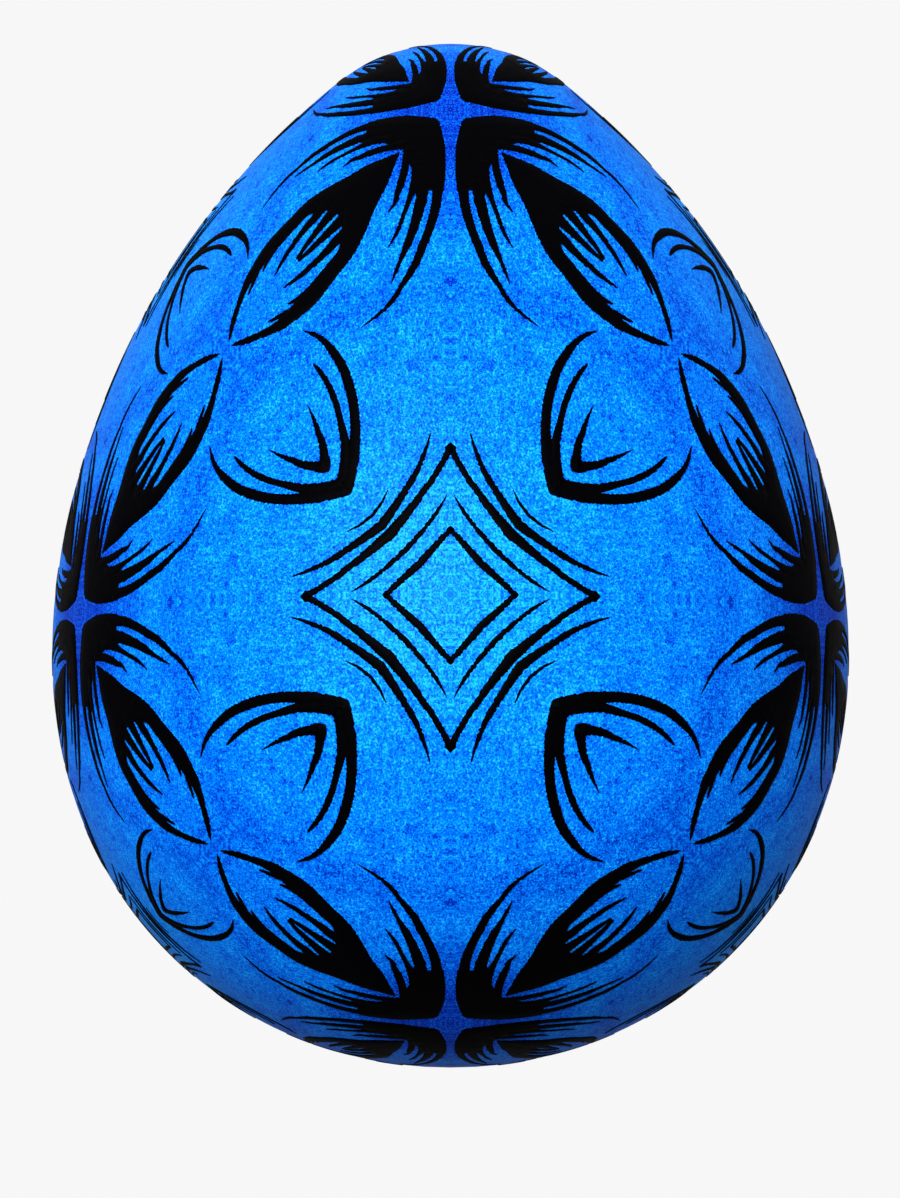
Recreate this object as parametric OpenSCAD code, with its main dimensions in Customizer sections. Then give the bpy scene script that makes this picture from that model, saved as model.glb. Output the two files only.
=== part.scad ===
// A blown hen's egg decorated with black wax-resist strokes on a blue ground.
// The egg stands along +Z on its blunt end, with the origin at the base of its axis.
// The front of the drawing faces -Y, and the back repeats it in a mirror.

/* [Egg] */
// Length of the egg from base to crown
egg_length = 57; // [52:0.5:62]
// Thickness of the shell
shell_wall = 0.36; // [0.3:0.01:0.45]
// Thickness of the outer membrane, which lines the shell
outer_film = 0.08; // [0.05:0.01:0.1]
// Thickness of the inner membrane
inner_film = 0.08; // [0.04:0.01:0.1]
// Height of the air cell above the base
air_cell_h = 3; // [2.5:0.1:4]

/* [Blow holes] */
// Radius of the open hole at the crown
crown_hole_r = 0.8; // [0.5:0.05:1]
// Radius of the hole at the base
base_hole_r = 1.5; // [1:0.1:2]
// Radius of the wax bead inside the base hole
plug_bead_r = 2.4; // [2.2:0.1:3]
// Height of that bead above the inner membrane's underside
plug_bead_h = 0.6; // [0.4:0.1:1]

/* [Drawing] */
// Height of a stroke's ridge above the shell
stroke_rise = 0.1; // [0.06:0.01:0.14]
// Depth of a stroke's edges below the shell's face
stroke_root = 0.02; // [0.01:0.01:0.05]

/* [Hidden] */
// Shell, linings and plug, then the strokes of the front and of the back.
$fn = 96;

// ---- The egg's profile: five tangent arcs from the base to the crown ----
// Radii of the first four arcs, as fractions of the length. The crown's arc is
// centred on the axis, so its radius follows from the others.
base_r = 0.3981 * egg_length;
belly_r = 0.3755 * egg_length;
shoulder_r = 0.4984 * egg_length;
flank_r = 0.7678 * egg_length;
// Angle from straight down at which each arc hands over to the next.
turns = [20.78, 76.27, 97.75, 140.02];

// Centre of the arc that follows one with centre c and radius r, at angle a.
function next_centre(c, r, next_r, a) = c + (r - next_r) * [sin(a), -cos(a)];
base_c = [0, base_r];
belly_c = next_centre(base_c, base_r, belly_r, turns[0]);
shoulder_c = next_centre(belly_c, belly_r, shoulder_r, turns[1]);
flank_c = next_centre(shoulder_c, shoulder_r, flank_r, turns[2]);
crown_r = flank_r + flank_c.x / sin(turns[3]);
crown_c = next_centre(flank_c, flank_r, crown_r, turns[3]);

// Each arc as [centre, radius, start angle, end angle].
ARCS = [
    [base_c, base_r, 0, turns[0]],
    [belly_c, belly_r, turns[0], turns[1]],
    [shoulder_c, shoulder_r, turns[1], turns[2]],
    [flank_c, flank_r, turns[2], turns[3]],
    [crown_c, crown_r, turns[3], 180]
];

// Point of an arc at an angle from straight down, with the radius cut by inset.
function arc_point(arc, a, inset) = arc[0] + (arc[1] - inset) * [sin(a), -cos(a)];

// Height at which an arc ends.
function arc_top(arc) = arc_point(arc, arc[3], 0).y;

// The arc that a height lies on.
function arc_at(z, i = 0) = (i == len(ARCS) - 1 || z < arc_top(ARCS[i])) ? ARCS[i] : arc_at(z, i + 1);

// Half profile of the egg, cut in by inset on every side.
module half_profile(inset) {
    joints = [for (arc = ARCS) arc_point(arc, arc[3], inset)];
    intersection() {
        union() {
            polygon(concat([[0, inset]], joints));
            for (arc = ARCS) arc_sector(arc, inset);
        }
        translate([0, -1]) square([egg_length, egg_length + 2]);
    }
}

// Slice of one arc's disc that lies outside the chord between its ends.
module arc_sector(arc, inset) {
    mid = (arc[2] + arc[3]) / 2;
    reach = 1.4 * arc[1];
    from = arc_point(arc, arc[2], inset);
    to = arc_point(arc, arc[3], inset);
    intersection() {
        translate(arc[0]) circle(r = arc[1] - inset);
        polygon([
            from,
            arc[0] + reach * [sin(arc[2]), -cos(arc[2])],
            arc[0] + reach * [sin(mid), -cos(mid)],
            arc[0] + reach * [sin(arc[3]), -cos(arc[3])],
            to
        ]);
    }
}

// Closed lining between two insets of the profile.
module lining(outer, inner) {
    difference() {
        half_profile(outer);
        half_profile(inner);
    }
}

// Room for both blow holes, as a half profile.
module hole_room() {
    translate([-1, -1]) square([base_hole_r + 1, egg_length / 2]);
    translate([-1, egg_length / 2]) square([crown_hole_r + 1, egg_length]);
}

// ---- The flat drawing and how it lies on the egg ----
// The drawing repeats on squares: diamonds stand where the sum of the column and
// row is even, and crossings where it is odd. One unit is the step between them.
// Angle round a unit ball that the first unit from the middle of the front covers.
spread = 61.42;
// How fast the drawing closes up towards the sides.
closing = 0.524;
// Distance in the flat drawing at which the front meets the back.
rim = tan(90 / spread * atan(closing)) / closing;
// From the ball to the egg: how many degrees the drawing turns sideways halfway
// round, and how much it climbs at the sides, as a fraction of the length.
side_turn = 4.35;
side_climb = 0.0606;
// Height law: where each height h of the ball comes to on the egg, as a sum of powers
// of h. Its even terms add up to a half, and so do its odd ones, so it meets both ends.
law_0 = 0.4304;
law_2 = -0.0224;
law_5 = 0.1296;
law_6 = -0.0629;
law_7 = -0.0842;
law_1 = 0.5 - law_5 - law_7;
law_4 = 0.5 - law_0 - law_2 - law_6;
function height_law(h) = law_0 + law_1 * h + law_2 * pow(h, 2) + law_4 * pow(h, 4)
    + law_5 * pow(h, 5) + law_6 * pow(h, 6) + law_7 * pow(h, 7);

// A flat point as a point of the front, lifted off the shell along its normal.
function on_egg(p, lift) = let(
    r = max(norm(p), 1e-6),
    turn = spread * atan(closing * r) / atan(closing),
    across = sin(turn) * p.x / r,
    up = sin(turn) * p.y / r,
    around = atan2(across, cos(turn)),
    side = around + side_turn * sin(2 * around),
    z = egg_length * (height_law(up) + side_climb * pow(across * up, 2)),
    arc = arc_at(z),
    reach = sqrt(max(0, pow(arc[1], 2) - pow(z - arc[0].y, 2))),
    girth = arc[0].x + reach + lift * reach / arc[1]
) [girth * sin(side), -girth * cos(side), z + lift * (z - arc[0].y) / arc[1]];

// ---- Strokes, drawn by hand in one eighth of the square round their centre ----
// A line's stations are [u, v, half width], and a band's are [u, v, u, v], one
// point on each edge. Both lie in 0 <= v <= u, and the rest is mirrored and turned.
// Round a diamond:
INNER_DIAMOND = [[0.0535, 0.0535, 0.008], [0.113, 0, 0.0056]];
MIDDLE_DIAMOND = [[0.0785, 0.0785, 0.006], [0.111, 0.0495, 0.0048], [0.176, 0.006, 0.0008]];
STAR = [[0.107, 0.107, 0.0124], [0.18, 0.05, 0.0072], [0.261, 0, 0.016]];
STAR_TWIN = [[0.1225, 0.1225, 0.0095], [0.194, 0.075, 0.0056], [0.29, 0.036, 0.0008]];
ELBOW_TICK = [[0.1395, 0.1395, 0.0026], [0.163, 0.123, 0.002], [0.186, 0.112, 0.0008]];
PETAL_OUTLINE = [
    [0.189, 0.189, 0.0113], [0.25, 0.18, 0.0122], [0.35, 0.1835, 0.0098],
    [0.445, 0.223, 0.009], [0.506, 0.301, 0.001]
];
PETAL_ECHO = [[0.2, 0.2, 0.0141], [0.28, 0.197, 0.009], [0.35, 0.217, 0.006], [0.437, 0.272, 0.001]];
PETAL_CHEVRON = [[0.235, 0.235, 0.0159], [0.275, 0.2405, 0.0072], [0.36, 0.279, 0.0015]];
// Round a crossing:
LEAF_OUTLINE = [
    [0.4945, 0.484, 0.001], [0.486, 0.4, 0.007], [0.465, 0.34, 0.017],
    [0.414, 0.28, 0.0235], [0.333, 0.219, 0.02], [0.3, 0.2085, 0.0265]
];
LEAF_TIP = [
    [0.34, 0.201, 0.201, 0.34], [0.25, 0.1657, 0.1657, 0.25],
    [0.15, 0.132, 0.132, 0.15], [0.1245, 0.1243, 0.1243, 0.1245]
];
LONG_VEIN = [[0.398, 0.365, 0.0008], [0.36, 0.3, 0.0075], [0.316, 0.25, 0.0125], [0.294, 0.226, 0.014]];
SHORT_VEIN = [[0.3435, 0.338, 0.003], [0.315, 0.3, 0.008], [0.258, 0.232, 0.016]];
CORNER_PAD = [
    [0.0335, 0.0335, 0.1165, 0.1165], [0.06, 0.0235, 0.13, 0.113],
    [0.15, 0.0117, 0.16, 0.095], [0.225, 0.0147, 0.225, 0.07]
];
OUTER_LASH = [
    [0.502, 0.176, 0.0005], [0.45, 0.1135, 0.0044], [0.375, 0.069, 0.008],
    [0.3, 0.042, 0.0098], [0.2, 0.028, 0.0155]
];
SECOND_LASH = [[0.42, 0.1195, 0.0006], [0.35, 0.094, 0.007], [0.2, 0.06, 0.015]];
THIRD_LASH = [[0.345, 0.131, 0.0006], [0.275, 0.1015, 0.0044], [0.15, 0.08, 0.012]];
INNER_LASH = [[0.269, 0.138, 0.0006], [0.2, 0.113, 0.0095], [0.115, 0.1, 0.016]];

// How far from the middle of the front a centre can stand and still show.
far = 2;
function centres(odd) = [
    for (i = [-far : far], j = [-far : far])
        if ((i + j + 2 * far) % 2 == odd && norm([i, j]) <= far) [i, j]
];
DIAMOND_CENTRES = centres(0);
CROSSING_CENTRES = centres(1);

// A station seen in the mirror of the square's diagonal, and turned by quarters.
function mirrored(s) = len(s) == 4
    ? [s[1], s[0], s[3], s[2]]
    : [s[1], s[0], s[2]];
function turned(p, quarters) =
    quarters == 0 ? p : turned([-p.y, p.x], quarters - 1);

function reversed(list) = [for (i = [len(list) - 1 : -1 : 0]) list[i]];
function but_first(list) = [for (i = [1 : len(list) - 1]) list[i]];
function but_last(list) = [for (i = [0 : len(list) - 2]) list[i]];

// A line's stations as edge pairs, each at right angles to the way it runs.
function edge_pairs(line, closed) = [
    for (i = [0 : len(line) - 1]) let(
        last = len(line) - 1,
        before = line[i > 0 ? i - 1 : closed ? last : 0],
        after = line[i < last ? i + 1 : closed ? 0 : last],
        along = [after.x - before.x, after.y - before.y],
        side = [-along.y, along.x] / norm(along) * line[i][2]
    ) [line[i].x - side.x, line[i].y - side.y, line[i].x + side.x, line[i].y + side.y]
];

// A stroke and its mirror image, joined on the diagonal where the stroke starts.
function folded(line) = edge_pairs(concat(
    reversed([for (s = but_first(line)) mirrored(s)]), line), false);
function folded_band(band) = concat(
    reversed([for (s = but_first(band)) mirrored(s)]), band);
// A closed ring of four folded strokes.
function ring(line) = let(
    quarter = concat(reversed(line), [for (s = but_first(line)) mirrored(s)])
) edge_pairs([
    for (q = [0 : 3], s = but_last(quarter)) concat(turned([s.x, s.y], q), [s[2]])
], true);

// The part of a stroke, moved to its centre, that lies on the front.
function placed(pairs, centre, quarters) = [
    for (s = pairs) let(
        left = centre + turned([s[0], s[1]], quarters),
        right = centre + turned([s[2], s[3]], quarters)
    ) if (max(norm(left), norm(right)) < rim) [left, right]
];

// One ridge along a stroke: two edges in the shell's face, and a crest between.
module ridge(pairs, closed) {
    points = [
        for (s = pairs) each [
            on_egg(s[0], -stroke_root),
            on_egg(s[1], -stroke_root),
            on_egg((s[0] + s[1]) / 2, stroke_rise)
        ]
    ];
    count = len(pairs);
    flip = turn_of(pairs) < 0;
    faces = concat(
        [
            for (i = [0 : count - (closed ? 1 : 2)], k = [0 : 2]) let(
                a = 3 * i,
                b = 3 * ((i + 1) % count),
                n = (k + 1) % 3
            ) each [[a + k, b + k, b + n], [a + k, b + n, a + n]]
        ],
        closed ? [] : [[0, 1, 2], [3 * count - 1, 3 * count - 2, 3 * count - 3]]
    );
    polyhedron(points, flip ? [for (f = faces) reversed(f)] : faces);
}

// Positive where the stroke's left edge lies to the left of the way it runs.
function turn_of(pairs) = let(
    across = pairs[0][1] - pairs[0][0] + pairs[1][1] - pairs[1][0],
    along = pairs[1][0] + pairs[1][1] - pairs[0][0] - pairs[0][1]
) along.x * across.y - along.y * across.x;

// Each kind of stroke, at every centre of the front.
module at_centres(centres, shapes) {
    for (centre = centres, quarters = [0 : 3], shape = shapes) {
        pairs = placed(shape, centre, quarters);
        if (len(pairs) > 1) ridge(pairs, false);
    }
}
module rings_at(centres, shape) {
    for (centre = centres) {
        pairs = placed(shape, centre, 0);
        if (len(pairs) > 1) ridge(pairs, len(pairs) == len(shape));
    }
}
function both_hands(line) = [edge_pairs(line, false), edge_pairs([for (s = line) mirrored(s)], false)];

// ---- The shell, its linings and its plug ----
module eggshell() {
    color("dodgerblue") rotate_extrude() difference() {
        lining(0, shell_wall);
        hole_room();
    }
}

module outer_membrane() {
    color("ivory") rotate_extrude() difference() {
        lining(shell_wall, shell_wall + outer_film);
        hole_room();
    }
}

module inner_membrane() {
    face = shell_wall + outer_film;
    color("linen") rotate_extrude() difference() {
        union() {
            intersection() {
                lining(face, face + inner_film);
                translate([0, air_cell_h]) square(egg_length);
            }
            intersection() {
                half_profile(face);
                translate([0, air_cell_h]) square([egg_length, inner_film]);
            }
        }
        hole_room();
    }
}

module base_wax_plug() {
    color("goldenrod") rotate_extrude() {
        intersection() {
            half_profile(0);
            translate([0, -1]) square([base_hole_r, 2]);
        }
        intersection() {
            half_profile(shell_wall + outer_film);
            square([plug_bead_r, shell_wall + outer_film + plug_bead_h]);
        }
    }
}

// ---- The strokes ----
module inner_diamonds() { rings_at(DIAMOND_CENTRES, ring(INNER_DIAMOND)); }
module middle_diamonds() { at_centres(DIAMOND_CENTRES, [folded(MIDDLE_DIAMOND)]); }
module four_point_stars() { rings_at(DIAMOND_CENTRES, ring(STAR)); }
module star_twins() { at_centres(DIAMOND_CENTRES, [folded(STAR_TWIN)]); }
module elbow_ticks() { at_centres(DIAMOND_CENTRES, [folded(ELBOW_TICK)]); }
module petal_outlines() { at_centres(DIAMOND_CENTRES, [folded(PETAL_OUTLINE)]); }
module petal_echoes() { at_centres(DIAMOND_CENTRES, [folded(PETAL_ECHO)]); }
module petal_chevrons() { at_centres(DIAMOND_CENTRES, [folded(PETAL_CHEVRON)]); }
module leaf_outlines() { at_centres(CROSSING_CENTRES, both_hands(LEAF_OUTLINE)); }
module leaf_tips() { at_centres(CROSSING_CENTRES, [LEAF_TIP]); }
module long_veins() { at_centres(CROSSING_CENTRES, both_hands(LONG_VEIN)); }
module short_veins() { at_centres(CROSSING_CENTRES, both_hands(SHORT_VEIN)); }
module corner_pads() { at_centres(CROSSING_CENTRES, [folded_band(CORNER_PAD)]); }
module outer_lashes() { at_centres(CROSSING_CENTRES, both_hands(OUTER_LASH)); }
module second_lashes() { at_centres(CROSSING_CENTRES, both_hands(SECOND_LASH)); }
module third_lashes() { at_centres(CROSSING_CENTRES, both_hands(THIRD_LASH)); }
module inner_lashes() { at_centres(CROSSING_CENTRES, both_hands(INNER_LASH)); }

// The back is the front seen in a mirror through the egg's axis.
module on_front() { color("black") children(); }
module on_back() { color("black") mirror([0, 1, 0]) children(); }

eggshell();
outer_membrane();
inner_membrane();
base_wax_plug();
on_front() inner_diamonds();  // front_inner_diamonds
on_front() middle_diamonds();  // front_middle_diamonds
on_front() four_point_stars();  // front_four_point_stars
on_front() star_twins();  // front_star_twins
on_front() elbow_ticks();  // front_elbow_ticks
on_front() petal_outlines();  // front_petal_outlines
on_front() petal_echoes();  // front_petal_echoes
on_front() petal_chevrons();  // front_petal_chevrons
on_front() leaf_outlines();  // front_leaf_outlines
on_front() leaf_tips();  // front_leaf_tips
on_front() long_veins();  // front_long_veins
on_front() short_veins();  // front_short_veins
on_front() corner_pads();  // front_corner_pads
on_front() outer_lashes();  // front_outer_lashes
on_front() second_lashes();  // front_second_lashes
on_front() third_lashes();  // front_third_lashes
on_front() inner_lashes();  // front_inner_lashes
on_back() inner_diamonds();  // back_inner_diamonds
on_back() middle_diamonds();  // back_middle_diamonds
on_back() four_point_stars();  // back_four_point_stars
on_back() star_twins();  // back_star_twins
on_back() elbow_ticks();  // back_elbow_ticks
on_back() petal_outlines();  // back_petal_outlines
on_back() petal_echoes();  // back_petal_echoes
on_back() petal_chevrons();  // back_petal_chevrons
on_back() leaf_outlines();  // back_leaf_outlines
on_back() leaf_tips();  // back_leaf_tips
on_back() long_veins();  // back_long_veins
on_back() short_veins();  // back_short_veins
on_back() corner_pads();  // back_corner_pads
on_back() outer_lashes();  // back_outer_lashes
on_back() second_lashes();  // back_second_lashes
on_back() third_lashes();  // back_third_lashes
on_back() inner_lashes();  // back_inner_lashes
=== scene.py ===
"""A blown hen's egg, dyed blue and drawn over with black wax strokes.

The flat drawing repeats on squares. Diamonds stand where column plus row is even,
and crossings where it is odd; one unit is the step between them. Each stroke is drawn
in one eighth of the square round its centre, then mirrored, turned, and laid
on the egg by the same rule that the CAD model uses.
"""

import math

import bmesh
import bpy
import numpy as np
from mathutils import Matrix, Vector, noise


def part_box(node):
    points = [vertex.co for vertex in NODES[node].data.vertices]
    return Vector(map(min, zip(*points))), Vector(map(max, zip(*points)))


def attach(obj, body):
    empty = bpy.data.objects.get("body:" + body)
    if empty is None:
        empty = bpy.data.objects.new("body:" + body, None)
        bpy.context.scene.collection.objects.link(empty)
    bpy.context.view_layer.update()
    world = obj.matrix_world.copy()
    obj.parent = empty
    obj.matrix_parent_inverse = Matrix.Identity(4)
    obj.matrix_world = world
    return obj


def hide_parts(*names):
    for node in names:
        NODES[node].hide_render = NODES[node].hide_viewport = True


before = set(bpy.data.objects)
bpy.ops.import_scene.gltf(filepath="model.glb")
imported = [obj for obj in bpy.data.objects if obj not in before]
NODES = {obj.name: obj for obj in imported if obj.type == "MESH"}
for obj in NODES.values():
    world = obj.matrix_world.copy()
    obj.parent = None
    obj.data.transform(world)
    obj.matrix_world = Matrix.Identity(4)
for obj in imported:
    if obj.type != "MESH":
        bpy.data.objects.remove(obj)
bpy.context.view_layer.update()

# ---------------------------------------------------------------- the egg
MM = 0.001
SHELL_WALL = 0.36 * MM
CROWN_HOLE = 0.8 * MM
BASE_HOLE = 1.5 * MM

# Profile: five tangent arcs from base to crown, as fractions of the length, and the
# angle from straight down at which each hands over to the next.
ARC_RADII = [0.3981, 0.3755, 0.4984, 0.7678]
TURNS = np.radians([20.78, 76.27, 97.75, 140.02])


def profile_arcs():
    """Centres (x, z) and radii of the five arcs; the crown's centre is on the axis."""
    radii = list(ARC_RADII)
    centres = [np.array([0.0, radii[0]])]
    for i, turn in enumerate(TURNS[:3]):
        way = np.array([math.sin(turn), -math.cos(turn)])
        centres.append(centres[i] + (radii[i] - radii[i + 1]) * way)
    radii.append(radii[3] + centres[3][0] / math.sin(TURNS[3]))
    way = np.array([math.sin(TURNS[3]), -math.cos(TURNS[3])])
    centres.append(centres[3] + (radii[3] - radii[4]) * way)
    return np.array(centres), np.array(radii)


# The third arc holds the widest point, which gives the length from the shell's box.
ARC_CENTRES, RADII = profile_arcs()
shell_low, shell_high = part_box("eggshell")
EGG_LENGTH = (shell_high[0] - shell_low[0]) / 2 / (ARC_CENTRES[2][0] + RADII[2])
ARC_CENTRES, RADII = ARC_CENTRES * EGG_LENGTH, RADII * EGG_LENGTH
MIDDLE = Vector((0, 0, EGG_LENGTH / 2))
ARC_TOPS = ARC_CENTRES[:4, 1] - RADII[:4] * np.cos(TURNS)

# How the flat drawing lies on a unit ball, and how it turns and climbs at the egg's sides.
SPREAD = math.radians(61.42)
CLOSING = 0.524
RIM = math.tan(math.pi / 2 / SPREAD * math.atan(CLOSING)) / CLOSING
SIDE_TURN = math.radians(4.35)
SIDE_CLIMB = 0.0606
# Powers in the law from heights on the ball to the egg's; a half each, even and odd.
LAW_0, LAW_2, LAW_5, LAW_6, LAW_7 = 0.4304, -0.0224, 0.1296, -0.0629, -0.0842
LAW_1 = 0.5 - LAW_5 - LAW_7
LAW_4 = 0.5 - LAW_0 - LAW_2 - LAW_6


def height_law(h):
    """Height on the egg, as a fraction of its length, of a height from -1 to 1 on the ball."""
    even = LAW_0 + LAW_2 * h**2 + LAW_4 * h**4 + LAW_6 * h**6
    return even + LAW_1 * h + LAW_5 * h**5 + LAW_7 * h**7


def on_egg(flat, lift):
    """Flat points (n, 2) as points of the egg's front (n, 3), lifted along the normal."""
    r = np.maximum(np.hypot(flat[:, 0], flat[:, 1]), 1e-9)
    turn = SPREAD * np.arctan(CLOSING * r) / math.atan(CLOSING)
    across = np.sin(turn) * flat[:, 0] / r
    up = np.sin(turn) * flat[:, 1] / r
    around = np.arctan2(across, np.cos(turn))
    side = around + SIDE_TURN * np.sin(2 * around)
    z = EGG_LENGTH * (height_law(up) + SIDE_CLIMB * (across * up) ** 2)
    arc = np.searchsorted(ARC_TOPS, z)
    centre, radius = ARC_CENTRES[arc], RADII[arc]
    reach = np.sqrt(np.maximum(radius**2 - (z - centre[:, 1]) ** 2, 0))
    girth = centre[:, 0] + reach + lift * reach / radius
    height = z + lift * (z - centre[:, 1]) / radius
    return np.stack([girth * np.sin(side), -girth * np.cos(side), height], 1)


# ---------------------------------------------------------------- the strokes
# A line's stations are (u, v, half width); a band's are (u, v, u, v), an edge each.
# All lie near 0 <= v <= u. A folded stroke starts on the diagonal, and a ring also ends
# on the axis.
INNER_DIAMOND = [
    (0.0535, 0.0535, 0.0080), (0.0850, 0.0265, 0.0068), (0.1085, 0.0044, 0.0060),
    (0.1132, 0, 0.0088),
]
MIDDLE_DIAMOND = [
    (0.0785, 0.0785, 0.0060), (0.1110, 0.0495, 0.0048), (0.1430, 0.0250, 0.0040),
    (0.1760, 0.0060, 0.0008),
]
STAR = [
    (0.107, 0.107, 0.0124), (0.146, 0.075, 0.0090), (0.180, 0.050, 0.0072),
    (0.2165, 0.025, 0.0066), (0.2503, 0.006, 0.0066), (0.261, 0, 0.0137),
]
STAR_TWIN = [
    (0.1225, 0.1225, 0.0095), (0.156, 0.099, 0.0068), (0.194, 0.075, 0.0056),
    (0.216, 0.0624, 0.0048), (0.245, 0.050, 0.0034), (0.290, 0.036, 0.0008),
]
ELBOW_TICK = [(0.1405, 0.1405, 0.0026), (0.163, 0.124, 0.0020), (0.186, 0.113, 0.0008)]
PETAL_OUTLINE = [
    (0.189, 0.189, 0.0113), (0.210, 0.185, 0.0116), (0.250, 0.180, 0.0122),
    (0.300, 0.1775, 0.0098), (0.350, 0.1835, 0.0098), (0.395, 0.1965, 0.0095),
    (0.445, 0.223, 0.0085), (0.4705, 0.244, 0.0065), (0.4915, 0.2705, 0.0040),
    (0.5055, 0.301, 0.0008),
]
PETAL_ECHO = [
    (0.200, 0.200, 0.0141), (0.225, 0.1965, 0.0100), (0.280, 0.197, 0.0090),
    (0.315, 0.2065, 0.0065), (0.350, 0.217, 0.0060), (0.400, 0.242, 0.0055),
    (0.4225, 0.259, 0.0040), (0.437, 0.2725, 0.0010),
]
PETAL_CHEVRON = [
    (0.235, 0.235, 0.0155), (0.255, 0.2365, 0.0090), (0.275, 0.2405, 0.0072),
    (0.300, 0.2505, 0.0055), (0.330, 0.2635, 0.0026), (0.356, 0.277, 0.0005),
]
LEAF_OUTLINE = [
    (0.4955, 0.484, 0.4940, 0.484), (0.4985, 0.450, 0.4870, 0.450),
    (0.4932, 0.400, 0.4785, 0.400), (0.4835, 0.350, 0.4600, 0.360),
    (0.4690, 0.320, 0.4380, 0.335), (0.4380, 0.275, 0.3960, 0.294),
    (0.4000, 0.2450, 0.3600, 0.261), (0.3500, 0.2053, 0.3260, 0.240),
    (0.3250, 0.1930, 0.2850, 0.243), (0.3000, 0.1820, 0.2450, 0.240),
]
LEAF_SPLOTCH = [(0.4635, 0.392, 0.0010), (0.4580, 0.372, 0.0040), (0.4490, 0.345, 0.0060)]
LEAF_SMUDGE = [(0.4340, 0.347, 0.0012), (0.4270, 0.325, 0.0050), (0.4120, 0.302, 0.0060)]
LEAF_TIP = [
    (0.322, 0.194, 0.194, 0.322), (0.300, 0.182, 0.182, 0.300),
    (0.250, 0.1657, 0.1657, 0.250), (0.200, 0.1447, 0.1447, 0.200),
    (0.150, 0.132, 0.132, 0.150), (0.1245, 0.1243, 0.1243, 0.1245),
]
LONG_VEIN = [
    (0.397, 0.366, 0.0008), (0.384, 0.338, 0.0048), (0.361, 0.302, 0.0075),
    (0.339, 0.275, 0.0095), (0.316, 0.250, 0.0125), (0.294, 0.226, 0.0150),
]
SHORT_VEIN = [
    (0.3435, 0.3400, 0.0028), (0.3345, 0.325, 0.0050), (0.315, 0.300, 0.0080),
    (0.2955, 0.275, 0.0110), (0.278, 0.255, 0.0140), (0.258, 0.232, 0.0160),
]
CORNER_PAD = [
    (0.0335, 0.0335, 0.1165, 0.1165), (0.0400, 0.0285, 0.122, 0.1165),
    (0.0600, 0.0235, 0.130, 0.1130), (0.1000, 0.0152, 0.140, 0.1050),
    (0.1500, 0.0117, 0.160, 0.0950), (0.2000, 0.0128, 0.200, 0.0780),
    (0.2250, 0.0147, 0.225, 0.0700),
]
OUTER_LASH = [
    (0.502, 0.176, 0.0005), (0.491, 0.160, 0.0016), (0.470, 0.132, 0.0034),
    (0.450, 0.1135, 0.0044), (0.425, 0.0985, 0.0048), (0.400, 0.0823, 0.0070),
    (0.375, 0.069, 0.0080), (0.350, 0.060, 0.0090), (0.300, 0.042, 0.0098),
    (0.250, 0.031, 0.0110), (0.200, 0.028, 0.0155),
]
SECOND_LASH = [
    (0.420, 0.1195, 0.0006), (0.400, 0.1135, 0.0026), (0.375, 0.104, 0.0038),
    (0.350, 0.094, 0.0070), (0.325, 0.085, 0.0094), (0.300, 0.077, 0.0105),
    (0.250, 0.066, 0.0135), (0.200, 0.060, 0.0150),
]
THIRD_LASH = [
    (0.345, 0.131, 0.0006), (0.325, 0.1195, 0.0028), (0.300, 0.109, 0.0040),
    (0.275, 0.1015, 0.0044), (0.250, 0.094, 0.0055), (0.200, 0.080, 0.0120),
    (0.150, 0.080, 0.0120),
]
INNER_LASH = [
    (0.269, 0.138, 0.0006), (0.250, 0.1245, 0.0042), (0.225, 0.119, 0.0070),
    (0.200, 0.113, 0.0095), (0.175, 0.1085, 0.0095), (0.150, 0.106, 0.0105),
    (0.115, 0.100, 0.0160),
]

# Kind of stroke: where it repeats, how its halves meet, and its lines or bands.
KINDS = {
    "inner_diamonds": ("diamond", "ring", [INNER_DIAMOND]),
    "middle_diamonds": ("diamond", "fold", [MIDDLE_DIAMOND]),
    "four_point_stars": ("diamond", "ring", [STAR]),
    "star_twins": ("diamond", "fold", [STAR_TWIN]),
    "elbow_ticks": ("diamond", "fold", [ELBOW_TICK]),
    "petal_outlines": ("diamond", "fold", [PETAL_OUTLINE]),
    "petal_echoes": ("diamond", "fold", [PETAL_ECHO]),
    "petal_chevrons": ("diamond", "fold", [PETAL_CHEVRON]),
    "leaf_outlines": ("crossing", "pair", [LEAF_OUTLINE, LEAF_SPLOTCH, LEAF_SMUDGE]),
    "leaf_tips": ("crossing", "whole", [LEAF_TIP]),
    "long_veins": ("crossing", "pair", [LONG_VEIN]),
    "short_veins": ("crossing", "pair", [SHORT_VEIN]),
    "corner_pads": ("crossing", "fold", [CORNER_PAD]),
    "outer_lashes": ("crossing", "pair", [OUTER_LASH]),
    "second_lashes": ("crossing", "pair", [SECOND_LASH]),
    "third_lashes": ("crossing", "pair", [THIRD_LASH]),
    "inner_lashes": ("crossing", "pair", [INNER_LASH]),
}

STEP = 0.003          # length of one stretch of a stroke, in flat units
ROUGHNESS = 0.0026    # how far a stroke's edge wanders
GRAIN = 260.0         # how fast it wanders
BLEED = 0.0015        # how far the wax crept past each edge of a full stroke
FULL_WIDTH = 0.006    # width from which a stroke has its full bleed
CRISP = ("inner_diamonds", "middle_diamonds", "four_point_stars")  # kinds without it
RISE = 0.035 * MM     # height of a stroke's face above the shell
ROOT = 0.020 * MM     # depth of its edges below the shell's face


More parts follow.
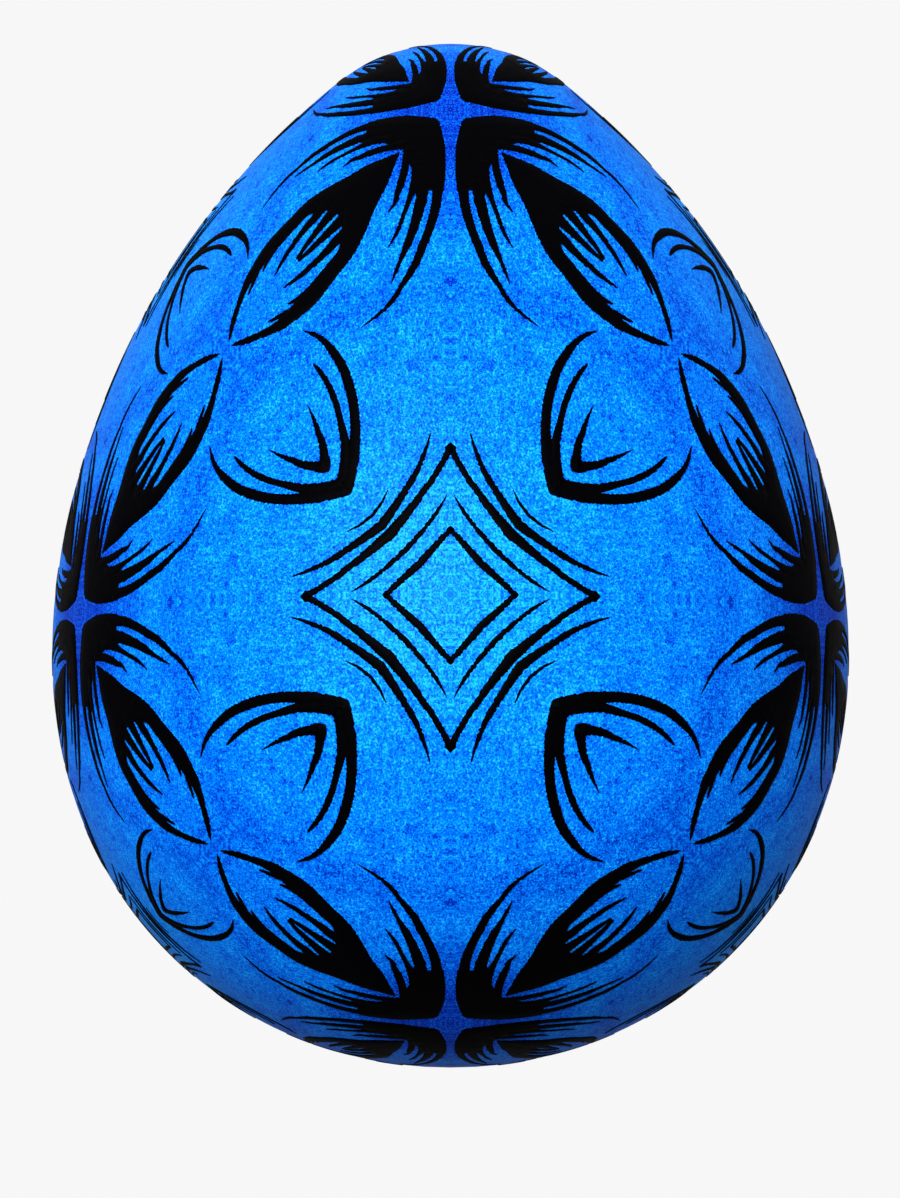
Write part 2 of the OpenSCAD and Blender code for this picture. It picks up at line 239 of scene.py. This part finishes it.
def smooth(stations):
    """A curve through the stations, sampled every STEP, with parabolic tangents."""
    p = np.array(stations, float)
    centre = p[:, :2] if p.shape[1] == 3 else (p[:, :2] + p[:, 2:]) / 2
    gaps = np.maximum(np.linalg.norm(np.diff(centre, axis=0), axis=1), 1e-6)
    slopes = np.diff(p, axis=0) / gaps[:, None]
    tangents = np.empty_like(p)
    tangents[0], tangents[-1] = slopes[0], slopes[-1]
    before, after = gaps[:-1, None], gaps[1:, None]
    tangents[1:-1] = (slopes[:-1] * after + slopes[1:] * before) / (before + after)
    if p.shape[1] == 3:
        # A half width never leaves the range of its two stations.
        rise, fall = slopes[:-1, 2], slopes[1:, 2]
        gentle = np.sign(rise) * np.minimum(np.abs(rise), np.abs(fall))
        tangents[1:-1, 2] = np.where(rise * fall > 0, gentle, 0)
    out = []
    for i, gap in enumerate(gaps):
        count = max(1, round(gap / STEP))
        t = (np.arange(count) / count)[:, None]
        out.append(
            p[i] * (1 + 2 * t) * (1 - t) ** 2 + gap * tangents[i] * t * (1 - t) ** 2
            + p[i + 1] * t**2 * (3 - 2 * t) + gap * tangents[i + 1] * t**2 * (t - 1)
        )
    out.append(p[-1:])
    return np.concatenate(out)


def wander(points, seed):
    """Grainy noise in two sizes, of about -1 to 1, at each flat point."""
    fine = GRAIN * 2.7
    return np.array([
        noise.noise(Vector((x * GRAIN, y * GRAIN, seed)))
        + 0.6 * noise.noise(Vector((x * fine, y * fine, seed + 9)))
        for x, y in points
    ])


def edges(stations, meeting, bleed):
    """Left and right edges of a stroke, each (n, 2), with their bleed and rough wander."""
    p = smooth(stations)
    if p.shape[1] == 3:
        along = np.gradient(p[:, :2], axis=0)
        if meeting in ("ring", "fold"):
            along[0] = (1, -1)
        if meeting == "ring":
            along[-1] = (0, -1)
        along /= np.linalg.norm(along, axis=1)[:, None]
        side = np.stack([-along[:, 1], along[:, 0]], 1) * np.maximum(p[:, 2:], 0)
        left, right = p[:, :2] - side, p[:, :2] + side
    else:
        left, right = p[:, :2], p[:, 2:]
    across = right - left
    width = np.linalg.norm(across, axis=1)
    unit = across / np.maximum(width, 1e-9)[:, None]
    loose = np.minimum(ROUGHNESS, 0.35 * width + 0.0003)[:, None]
    spread = bleed * np.minimum(width / FULL_WIDTH, 1)[:, None]
    left = left - unit * (spread + loose * wander(left, 3)[:, None])
    right = right + unit * (spread + loose * wander(right, 5)[:, None])
    return left, right


def swap(points):
    """Points mirrored in the square's diagonal."""
    return points[:, ::-1]


def whole_strokes(kind):
    """Every stroke of a kind round one centre, as (left, right, closed)."""
    _, meeting, shapes = KINDS[kind]
    strokes = []
    for shape in shapes:
        left, right = edges(shape, meeting, 0 if kind in CRISP else BLEED)
        if meeting == "ring":
            quarter = [
                np.concatenate([e[::-1], swap(e)[1:]])[:-1] for e in (left, right)
            ]
            turned = [np.concatenate([turn(e, q) for q in range(4)]) for e in quarter]
            strokes.append((turned[0], turned[1], True))
            continue
        if meeting == "fold":
            left = np.concatenate([swap(left)[:0:-1], left])
            right = np.concatenate([swap(right)[:0:-1], right])
        hands = [(left, right)]
        if meeting == "pair":
            hands.append((swap(right), swap(left)))
        for q in range(4):
            strokes += [(turn(a, q), turn(b, q), False) for a, b in hands]
    return strokes


def turn(points, quarters):
    """Points turned about the centre by quarter turns."""
    for _ in range(quarters):
        points = np.stack([-points[:, 1], points[:, 0]], 1)
    return points


FAR = 2  # how many steps from the front's middle the squares are filled
CENTRES = {
    name: [
        np.array((i, j), float)
        for i in range(-FAR, FAR + 1) for j in range(-FAR, FAR + 1)
        if (i + j) % 2 == odd and math.hypot(i, j) <= FAR + 0.3
    ]
    for name, odd in (("diamond", 0), ("crossing", 1))
}
# Where each row of points lies across a stroke, and its height.
NARROW_ROWS = [(0, -ROOT), (0.16, RISE), (0.84, RISE), (1, -ROOT)]
WIDE_ROWS = [
    (0, -ROOT), (0.04, RISE), (0.35, RISE), (0.65, RISE), (0.96, RISE), (1, -ROOT),
]
WIDE = 0.03  # mean width, in flat units, past which a stroke takes the wide rows


def stroke_mesh(left, right, closed):
    """Points and faces of one stroke on the front, cut off at the rim, or None."""
    far_left, far_right = np.hypot(*left.T), np.hypot(*right.T)
    inside = np.minimum(far_left, far_right) < RIM
    if inside.sum() < 2:
        return None
    if not inside.all():
        closed = False
        # A ring that leaves the front starts again where it comes back in.
        first = int(np.argmin(inside)) if inside[0] and inside[-1] else 0
        order = np.roll(np.arange(len(inside)), -first)
        kept = order[inside[order]]
        left, right = left[kept], right[kept]
    # Points past the rim are drawn in to it.
    left, right = [
        e * np.minimum(1, RIM / np.maximum(np.hypot(*e.T), 1e-9))[:, None] for e in (left, right)
    ]
    width = np.linalg.norm(right - left, axis=1).mean()
    rows = WIDE_ROWS if width > WIDE else NARROW_ROWS
    n, k = len(left), len(rows)
    points = np.stack([on_egg(left + s * (right - left), lift) for s, lift in rows], 1)
    section = np.arange(k)
    starts = np.arange(n if closed else n - 1)
    a = (starts[:, None] * k + section).reshape(-1)
    b = (((starts + 1) % n)[:, None] * k + section).reshape(-1)
    c = (((starts + 1) % n)[:, None] * k + (section + 1) % k).reshape(-1)
    d = (starts[:, None] * k + (section + 1) % k).reshape(-1)
    faces = np.stack([a, b, c, d], 1).tolist()
    if not closed:
        faces.append(list(range(k - 1, -1, -1)))
        faces.append([(n - 1) * k + i for i in range(k)])
    return points.reshape(-1, 3), faces


def drawing(kind, back):
    """Every stroke of a kind on one side of the egg, as one mesh of separate solids."""
    where, _, _ = KINDS[kind]
    points, faces, count = [], [], 0
    for centre in CENTRES[where]:
        for left, right, closed in whole_strokes_of[kind]:
            made = stroke_mesh(left + centre, right + centre, closed)
            if made is None:
                continue
            points.append(made[0])
            faces += [[i + count for i in f] for f in made[1]]
            count += len(made[0])
    points = np.concatenate(points)
    if back:
        points = points * (1, -1, 1)
        faces = [f[::-1] for f in faces]
    return points, faces


def new_object(name, points, faces, material, smooth_faces=True):
    """A mesh object whose faces all point outward."""
    mesh = bpy.data.meshes.new(name)
    mesh.from_pydata(np.asarray(points).tolist(), [], faces)
    bm = bmesh.new()
    bm.from_mesh(mesh)
    bmesh.ops.recalc_face_normals(bm, faces=bm.faces)
    bm.to_mesh(mesh)
    bm.free()
    mesh.polygons.foreach_set("use_smooth", [smooth_faces] * len(mesh.polygons))
    mesh.materials.append(material)
    piece = bpy.data.objects.new(name, mesh)
    bpy.context.scene.collection.objects.link(piece)
    return piece


# ---------------------------------------------------------------- materials
def new_material(name):
    """A material, its node tree and its Principled shader."""
    material = bpy.data.materials.new(name)
    material.use_nodes = True
    tree = material.node_tree
    return material, tree, tree.nodes["Principled BSDF"]


class Maths:
    """Shorthand for wiring math nodes."""

    def __init__(self, tree):
        self.tree = tree

    def __call__(self, operation, *values, clamp=False):
        node = self.tree.nodes.new("ShaderNodeMath")
        node.operation = operation
        node.use_clamp = clamp
        for socket, value in zip(node.inputs, values):
            if isinstance(value, (int, float)):
                socket.default_value = value
            else:
                self.tree.links.new(value, socket)
        return node.outputs[0]


def noise_at(tree, vector, scale, detail=3.0, rough=0.6, distortion=0.0):
    """The value of a noise texture at a vector."""
    node = tree.nodes.new("ShaderNodeTexNoise")
    node.inputs["Scale"].default_value = scale
    node.inputs["Detail"].default_value = detail
    node.inputs["Roughness"].default_value = rough
    node.inputs["Distortion"].default_value = distortion
    tree.links.new(vector, node.inputs["Vector"])
    return node.outputs[0]


def bump_from(tree, height, strength, distance, shader):
    """A bump on a shader's normal."""
    node = tree.nodes.new("ShaderNodeBump")
    node.inputs["Strength"].default_value = strength
    node.inputs["Distance"].default_value = distance
    tree.links.new(height, node.inputs["Height"])
    tree.links.new(node.outputs[0], shader.inputs["Normal"])


def ramp(tree, value, stops):
    """A colour ramp over (position, colour) stops."""
    node = tree.nodes.new("ShaderNodeValToRGB")
    stack = node.color_ramp.elements
    while len(stack) < len(stops):
        stack.new(0.5)
    for element, (position, colour) in zip(stack, stops):
        element.position = position
        element.color = (*colour, 1)
    tree.links.new(value, node.inputs[0])
    return node.outputs[0]


def dyed_shell():
    """Blue dye, mottled like felt, in the same mirrors as the drawing."""
    material, tree, shader = new_material("dyed_shell")
    m = Maths(tree)
    uv = tree.nodes.new("ShaderNodeUVMap")
    uv.uv_map = "flat"
    parts = tree.nodes.new("ShaderNodeSeparateXYZ")
    tree.links.new(uv.outputs[0], parts.inputs[0])
    u = m("PINGPONG", parts.outputs[0], 1.0)
    v = m("PINGPONG", parts.outputs[1], 1.0)
    # Fold the unit square over both diagonals onto one eighth of it.
    high, low = m("MAXIMUM", u, v), m("MINIMUM", u, v)
    past = m("GREATER_THAN", m("ADD", high, low), 1.0)
    back = m("SUBTRACT", 1.0, past)
    a = m("ADD", m("MULTIPLY", high, back), m("MULTIPLY", m("SUBTRACT", 1.0, low), past))
    b = m("ADD", m("MULTIPLY", low, back), m("MULTIPLY", m("SUBTRACT", 1.0, high), past))
    folded = tree.nodes.new("ShaderNodeCombineXYZ")
    tree.links.new(a, folded.inputs[0])
    tree.links.new(b, folded.inputs[1])
    spot = folded.outputs[0]

    def distance(x, y):
        dx, dy = m("SUBTRACT", a, x), m("SUBTRACT", b, y)
        return m("SQRT", m("ADD", m("MULTIPLY", dx, dx), m("MULTIPLY", dy, dy)))

    def falloff(value, near, far):
        """1 up to near, falling to 0 at far."""
        node = tree.nodes.new("ShaderNodeMapRange")
        node.interpolation_type = "SMOOTHSTEP"
        node.inputs["From Min"].default_value = near
        node.inputs["From Max"].default_value = far
        node.inputs["To Min"].default_value = 1
        node.inputs["To Max"].default_value = 0
        tree.links.new(value, node.inputs[0])
        return node.outputs[0]

    cloud = noise_at(tree, spot, 9, 4, 0.6)
    felt = noise_at(tree, spot, 100, 4, 0.8, 0.5)
    speck = noise_at(tree, spot, 240, 2, 0.8)
    patch = noise_at(tree, spot, 34, 6, 0.8, 0.8)
    from_diamond = distance(0, 0)
    from_crossing = distance(1, 0)
    from_knot = distance(0.5, 0.5)
    wavy = m("ADD", from_diamond, m("MULTIPLY", cloud, 0.12))
    ring_gap = m("ABSOLUTE", m("SUBTRACT", wavy, 0.64))
    # Lightest at the diamonds; darker at crossings, leaf knots and a ring between them.
    tone = m("ADD", 0.59, m("MULTIPLY", falloff(from_diamond, 0.0, 0.44), 0.20))
    for mask, depth in (
        (falloff(from_crossing, 0.08, 0.36), 0.42),
        (falloff(from_knot, 0.02, 0.16), 0.14),
        (falloff(ring_gap, 0.0, 0.07), 0.13),
    ):
        tone = m("SUBTRACT", tone, m("MULTIPLY", mask, depth))
    for mottle, strength in ((cloud, 0.55), (felt, 2.00), (speck, 2.20)):
        tone = m("ADD", tone, m("MULTIPLY", m("SUBTRACT", mottle, 0.5), strength))
    deep = m("MAXIMUM", m("SUBTRACT", patch, 0.50), 0)
    tone = m("SUBTRACT", tone, m("MULTIPLY", deep, 1.7), clamp=True)
    colour = ramp(tree, tone, [
        (0.00, (0.000, 0.008, 0.26)),
        (0.25, (0.000, 0.045, 0.56)),
        (0.50, (0.000, 0.140, 0.80)),
        (0.75, (0.000, 0.230, 0.92)),
        (1.00, (0.012, 0.480, 1.00)),
    ])
    tree.links.new(colour, shader.inputs["Base Color"])
    shader.inputs["Roughness"].default_value = 0.45
    shader.inputs["Specular IOR Level"].default_value = 0.02
    pores = noise_at(tree, spot, 320, 2, 0.6)
    bump_from(tree, m("ADD", felt, m("MULTIPLY", pores, 0.5)), 0.25, 0.00004, shader)
    return material


def black_stroke():
    """Dull black wax with a fine grain."""
    material, tree, shader = new_material("black_stroke")
    m = Maths(tree)
    place = tree.nodes.new("ShaderNodeTexCoord").outputs["Object"]
    grain = noise_at(tree, place, 9000, 3, 0.7)
    streak = noise_at(tree, place, 1500, 3, 0.6)
    colour = ramp(tree, grain, [
        (0.30, (0.0001, 0.0001, 0.0002)),
        (0.80, (0.001, 0.001, 0.002)),
    ])
    tree.links.new(colour, shader.inputs["Base Color"])
    tree.links.new(m("ADD", 0.42, m("MULTIPLY", streak, 0.2)), shader.inputs["Roughness"])
    shader.inputs["Specular IOR Level"].default_value = 0.01
    bump_from(tree, grain, 0.2, 0.00002, shader)
    return material


def membrane():
    """Dry, faintly fibrous film."""
    material, tree, shader = new_material("membrane")
    place = tree.nodes.new("ShaderNodeTexCoord").outputs["Object"]
    fibres = noise_at(tree, place, 1800, 5, 0.7, 1.5)
    colour = ramp(tree, fibres, [(0.3, (0.70, 0.62, 0.48)), (0.7, (0.90, 0.86, 0.76))])
    tree.links.new(colour, shader.inputs["Base Color"])
    shader.inputs["Roughness"].default_value = 0.6
    bump_from(tree, fibres, 0.3, 0.00002, shader)
    return material


def beeswax():
    """Smooth melted wax, slightly cloudy."""
    material, tree, shader = new_material("beeswax")
    place = tree.nodes.new("ShaderNodeTexCoord").outputs["Object"]
    cloud = noise_at(tree, place, 700, 3, 0.5)
    colour = ramp(tree, cloud, [(0.3, (0.48, 0.27, 0.06)), (0.7, (0.66, 0.42, 0.13))])
    tree.links.new(colour, shader.inputs["Base Color"])
    shader.inputs["Roughness"].default_value = 0.35
    shader.inputs["Subsurface Weight"].default_value = 0.2
    shader.inputs["Subsurface Scale"].default_value = 0.001
    bump_from(tree, cloud, 0.2, 0.00005, shader)
    return material


# ---------------------------------------------------------------- the shell
RINGS, SPOKES = 60, 240  # of the outer face's front, from its middle to the rim


def cut_hole(bm, radius, top):
    """Opens a round hole at one end of the axis."""
    def at_end(vert):
        return (vert.co.z > MIDDLE.z) == top

    doomed = [v for v in bm.verts if at_end(v) and math.hypot(v.co.x, v.co.y) < radius]
    bmesh.ops.delete(bm, geom=doomed, context="VERTS")
    arc = 4 if top else 0
    drop = math.sqrt(RADII[arc] ** 2 - radius**2)
    for v in [v for v in bm.verts if v.is_boundary and at_end(v)]:
        far = math.hypot(v.co.x, v.co.y)
        v.co.x *= radius / far
        v.co.y *= radius / far
        v.co.z = ARC_CENTRES[arc][1] + (drop if top else -drop)


def shell_piece(material):
    """The eggshell: outer face, inner face and both blow holes' walls, closed."""
    turns = np.linspace(0, math.pi / 2, RINGS + 1)[1:]
    radii = np.tan(turns / SPREAD * math.atan(CLOSING)) / CLOSING
    angles = np.arange(SPOKES) * 2 * math.pi / SPOKES
    ring = np.stack([np.cos(angles), np.sin(angles)], 1)
    flat = np.concatenate([[(0, 0)]] + [ring * r for r in radii])
    front = on_egg(flat, 0)
    # The back shares the front's last ring.
    last = 1 + SPOKES * (RINGS - 1)
    points = np.concatenate([front, front[:last] * (1, -1, 1)])
    flat_all = np.concatenate([flat, flat[:last]])
    faces = []
    for back in (False, True):
        def index(r, s, back=back):
            i = 0 if r == 0 else 1 + (r - 1) * SPOKES + s % SPOKES
            return i + len(front) if back and i < last else i

        for s in range(SPOKES):
            side = [[index(0, 0), index(1, s), index(1, s + 1)]]
            side += [
                [index(r, s), index(r + 1, s), index(r + 1, s + 1), index(r, s + 1)]
                for r in range(1, RINGS)
            ]
            faces += [f[::-1] for f in side] if back else side
    mesh = bpy.data.meshes.new("dyed_eggshell")
    mesh.from_pydata(points.tolist(), [], faces)
    layer = mesh.uv_layers.new(name="flat")
    corners = np.empty(len(mesh.loops), int)
    mesh.loops.foreach_get("vertex_index", corners)
    layer.data.foreach_set("uv", flat_all[corners].reshape(-1))

    bm = bmesh.new()
    bm.from_mesh(mesh)
    cut_hole(bm, CROWN_HOLE, True)
    cut_hole(bm, BASE_HOLE, False)
    bm.normal_update()
    outer = set(bm.faces)
    inner = bmesh.ops.duplicate(bm, geom=bm.verts[:] + bm.edges[:] + bm.faces[:])
    twin = inner["vert_map"]
    for v in {v for f in outer for v in f.verts}:
        twin[v].co = v.co - v.normal * SHELL_WALL
    lips = [e for e in bm.edges if e.is_boundary and e.link_faces[0] in outer]
    inside = [g for g in inner["geom"] if isinstance(g, bmesh.types.BMFace)]
    bmesh.ops.reverse_faces(bm, faces=inside)
    for e in lips:
        p, q = e.verts
        bm.faces.new((p, q, twin[q], twin[p]))
    bmesh.ops.recalc_face_normals(bm, faces=bm.faces)
    bm.to_mesh(mesh)
    bm.free()
    mesh.polygons.foreach_set("use_smooth", [True] * len(mesh.polygons))
    mesh.materials.append(material)
    piece = bpy.data.objects.new("dyed_eggshell", mesh)
    bpy.context.scene.collection.objects.link(piece)
    return piece


# ---------------------------------------------------------------- the object
shell_look, stroke_look = dyed_shell(), black_stroke()

shell = shell_piece(shell_look)
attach(shell, "root")
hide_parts("eggshell")

whole_strokes_of = {kind: whole_strokes(kind) for kind in KINDS}
for kind in KINDS:
    for side in ("front", "back"):
        points, faces = drawing(kind, side == "back")
        strokes = new_object(f"{side}_{kind}_drawn", points, faces, stroke_look)
        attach(strokes, "root")
        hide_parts(f"{side}_{kind}")

film, wax = membrane(), beeswax()
for node, look in (("outer_membrane", film), ("inner_membrane", film), ("base_wax_plug", wax)):
    for material_slot in NODES[node].material_slots:
        material_slot.material = look

# ---------------------------------------------------------------- the stage
PAPER = 0.93  # linear brightness of the pale studio


def glowing(name, strength):
    """A plain white emitting material."""
    material = bpy.data.materials.new(name)
    material.use_nodes = True
    tree = material.node_tree
    tree.nodes.clear()
    light = tree.nodes.new("ShaderNodeEmission")
    light.inputs["Color"].default_value = (1, 1, 1, 1)
    light.inputs["Strength"].default_value = strength
    out = tree.nodes.new("ShaderNodeOutputMaterial")
    tree.links.new(light.outputs[0], out.inputs[0])
    return material


def stage_disc(name, radius, z, material):
    """A flat round floor."""
    count = 96
    angles = np.arange(count) * 2 * math.pi / count
    heights = np.full(count, z)
    points = np.stack([np.cos(angles) * radius, np.sin(angles) * radius, heights], 1)
    return new_object(name, points, [list(range(count))], material, False)


def unlit(piece):
    """Shown to the camera only, so that it doesn't light the egg."""
    piece.visible_diffuse = False
    piece.visible_glossy = False
    piece.visible_shadow = False


floor = stage_disc("floor", 3.0, -0.0002, glowing("floor_paper", PAPER))
unlit(floor)

bm = bmesh.new()
bmesh.ops.create_icosphere(bm, subdivisions=4, radius=4.0)
mesh = bpy.data.meshes.new("backdrop")
bm.to_mesh(mesh)
bm.free()
mesh.materials.append(glowing("backdrop_paper", PAPER))
backdrop = bpy.data.objects.new("backdrop", mesh)
bpy.context.scene.collection.objects.link(backdrop)
unlit(backdrop)


def aim(thing, place, target):
    """Puts a light or camera at a place, facing the target."""
    thing.location = place
    thing.rotation_euler = (Vector(target) - Vector(place)).to_track_quat("-Z", "Y").to_euler()


def sun(name, towards, strength, spread, colour):
    """A soft far light that comes from a direction."""
    lamp = bpy.data.lights.new(name, "SUN")
    lamp.energy = strength
    lamp.angle = math.radians(spread)
    lamp.color = colour
    piece = bpy.data.objects.new(name, lamp)
    bpy.context.scene.collection.objects.link(piece)
    aim(piece, Vector(towards), (0, 0, 0))


sun("key", (-0.20, -0.92, 0.28), 4.5, 30, (1.0, 1.0, 1.0))

world = bpy.data.worlds.new("studio")
bpy.context.scene.world = world
world.use_nodes = True
tree = world.node_tree
direction = tree.nodes.new("ShaderNodeTexCoord").outputs["Generated"]
split = tree.nodes.new("ShaderNodeSeparateXYZ")
tree.links.new(direction, split.inputs[0])
m = Maths(tree)
height = m("MULTIPLY_ADD", split.outputs[2], 0.5, 0.5)
sky = ramp(tree, height, [(0.25, (0.22, 0.22, 0.23)), (0.80, (0.60, 0.60, 0.62))])
tree.links.new(sky, tree.nodes["Background"].inputs["Color"])

# ---------------------------------------------------------------- the camera
# The lens looks slightly upward at the egg's middle.
CAMERA_FAR = 0.2941
CAMERA_RISE = math.radians(-4.745)
LENS = 158.85
camera_data = bpy.data.cameras.new("camera")
camera_data.sensor_fit = "VERTICAL"
camera_data.sensor_height = 36
camera_data.lens = LENS
camera_data.shift_x = -0.0004
camera_data.shift_y = -0.0384
camera_data.clip_start = 0.01
camera_data.clip_end = 20
camera = bpy.data.objects.new("camera", camera_data)
bpy.context.scene.collection.objects.link(camera)
away = Vector((0, -math.cos(CAMERA_RISE), math.sin(CAMERA_RISE)))
aim(camera, MIDDLE + away * CAMERA_FAR, MIDDLE)
bpy.context.scene.camera = camera
bpy.context.scene.view_settings.view_transform = "Standard"
